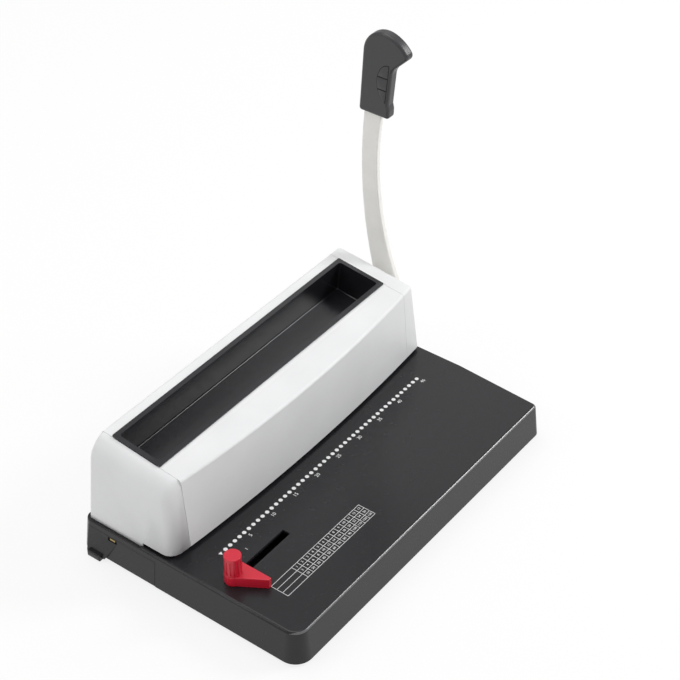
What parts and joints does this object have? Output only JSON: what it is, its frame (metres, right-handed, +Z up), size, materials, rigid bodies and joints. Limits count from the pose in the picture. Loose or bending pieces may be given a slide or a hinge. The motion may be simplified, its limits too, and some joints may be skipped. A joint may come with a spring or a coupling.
{
  "type": "spiral binding machine",
  "caption": "Manual punch for spiral binding: long light casing with an open coil tray on a wide dark base, tall lever at the right, sliding red paper guide and a waste drawer.",
  "frame": {"origin": "on the table under the centre of the machine's overall length and depth", "axes": "+X along the machine towards the lever, +Y away from the user, +Z up"},
  "size_m": [0.3906, 0.245, 0.366],
  "materials": {
    "charcoal_plastic": "fine-textured charcoal moulding",
    "casing_plastic": "light grey-white moulding",
    "tray_plastic": "dark satin moulding",
    "grip_plastic": "dark grey satin moulding",
    "red_plastic": "glossy red moulding",
    "arm_paint": "off-white powder coat",
    "steel": "bright steel",
    "zinc_sheet": "zinc-plated sheet",
    "rubber": "moulded rubber",
    "brass": "plain brass"
  },
  "bodies": {
    "chassis": {"base_cover": "charcoal_plastic", "bottom_plate": "zinc_sheet", "rubber_feet": "rubber", "base_screws": "steel", "drawer_rails": "zinc_sheet", "die_bed": "steel", "back_stop": "steel", "pin_guide_plate": "steel", "guide_plate_screws": "steel", "left_side_frame": "zinc_sheet", "right_side_frame": "zinc_sheet", "frame_screws": "steel", "front_tie_rod": "steel", "rear_tie_rod": "steel", "tie_screws": "steel", "left_shaft_bush": "brass", "right_shaft_bush": "brass", "left_guide_post": "steel", "right_guide_post": "steel", "left_return_spring": "steel", "right_return_spring": "steel", "front_cover": "casing_plastic", "rear_cover": "casing_plastic", "cover_screws": "steel", "left_end_cap": "casing_plastic", "right_end_cap": "casing_plastic", "cap_screws": "steel", "coil_tray": "tray_plastic"},
    "lever": {"main_shaft": "steel", "shaft_clip": "steel", "left_cam": "steel", "right_cam": "steel", "cam_pins": "steel", "hub_spacer": "steel", "handle_arm": "arm_paint", "handle_grip": "grip_plastic", "hub_washer": "steel", "hub_bolt": "steel"},
    "press": {"press_bar": "steel", "punch_pins": "steel", "pin_retainer": "steel", "retainer_screws": "steel"},
    "drawer": {"waste_drawer": "charcoal_plastic", "drawer_catch": "brass"},
    "guide": {"side_guide": "red_plastic", "guide_clamp": "steel", "guide_stud": "steel"},
    "knob": {"guide_knob": "red_plastic", "knob_insert": "brass"}
  },
  "joints": [
    {"name": "handle_turn", "type": "hinge", "parent": "chassis", "child": "lever", "pos_m": [0.00017, 0.0495, 0.0699], "axis": [1, 0, 0], "range_deg": [0, 80]},
    {"name": "press_slide", "type": "slide", "parent": "chassis", "child": "press", "axis": [0, 0, -1], "range_m": [0, 0.008], "stiffness_N_per_m": 800, "springref_m": -0.01, "deforming": ["left_return_spring", "right_return_spring"]},
    {"name": "drawer_slide", "type": "slide", "parent": "chassis", "child": "drawer", "axis": [-1, 0, 0], "range_m": [0, 0.25]},
    {"name": "guide_slide", "type": "slide", "parent": "chassis", "child": "guide", "axis": [1, 0, 0], "range_m": [0, 0.064]},
    {"name": "knob_turn", "type": "hinge", "parent": "guide", "child": "knob", "pos_m": [-0.16642, -0.03515, 0.048], "axis": [0, 0, 1], "range_deg": [0, 180]}
  ],
  "couplings": [
    {"joint": "press_slide", "follows": "handle_turn", "m_per_rad": 0.005729}
  ]
}
